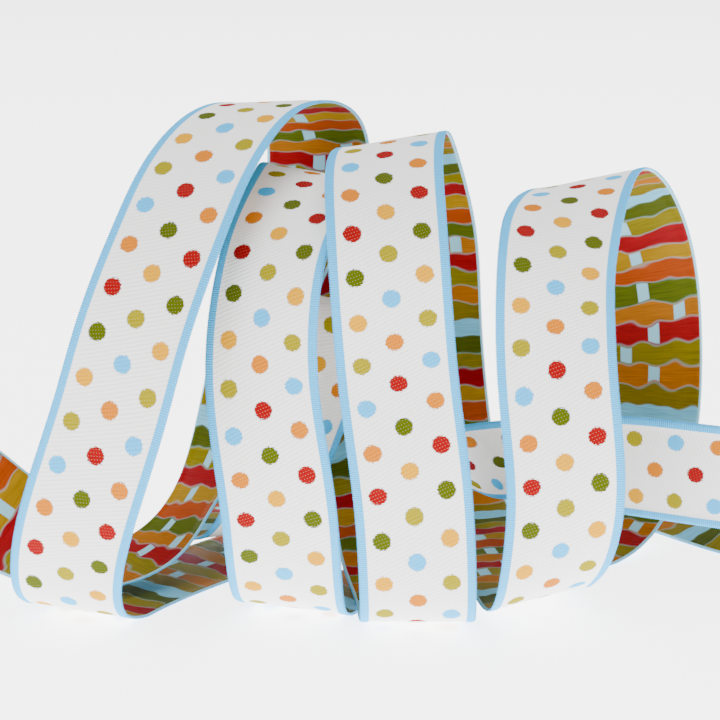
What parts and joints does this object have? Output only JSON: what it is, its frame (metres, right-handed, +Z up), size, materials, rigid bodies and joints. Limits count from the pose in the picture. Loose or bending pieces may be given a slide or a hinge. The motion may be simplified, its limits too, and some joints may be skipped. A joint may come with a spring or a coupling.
{
  "type": "woven ribbon in loose loops",
  "caption": "Narrow woven dotted ribbon with coloured edges, standing on its side edges in loose springy loops with two trailing runs.",
  "frame": {"origin": "on the surface that the loops stand on, under the middle of the outline", "axes": "+X along the row of loops, to the right as seen from the front; +Z up; -Y is the front, where the face of the cloth shows"},
  "size_m": [0.1876, 0.1208, 0.0995],
  "materials": {
    "woven_cloth": "dense polyester twill, off-white face with coloured dots, pale blue woven edges, coloured floats on the reverse"
  },
  "bodies": {
    "root": {"ribbon": "woven_cloth"}
  },
  "joints": []
}
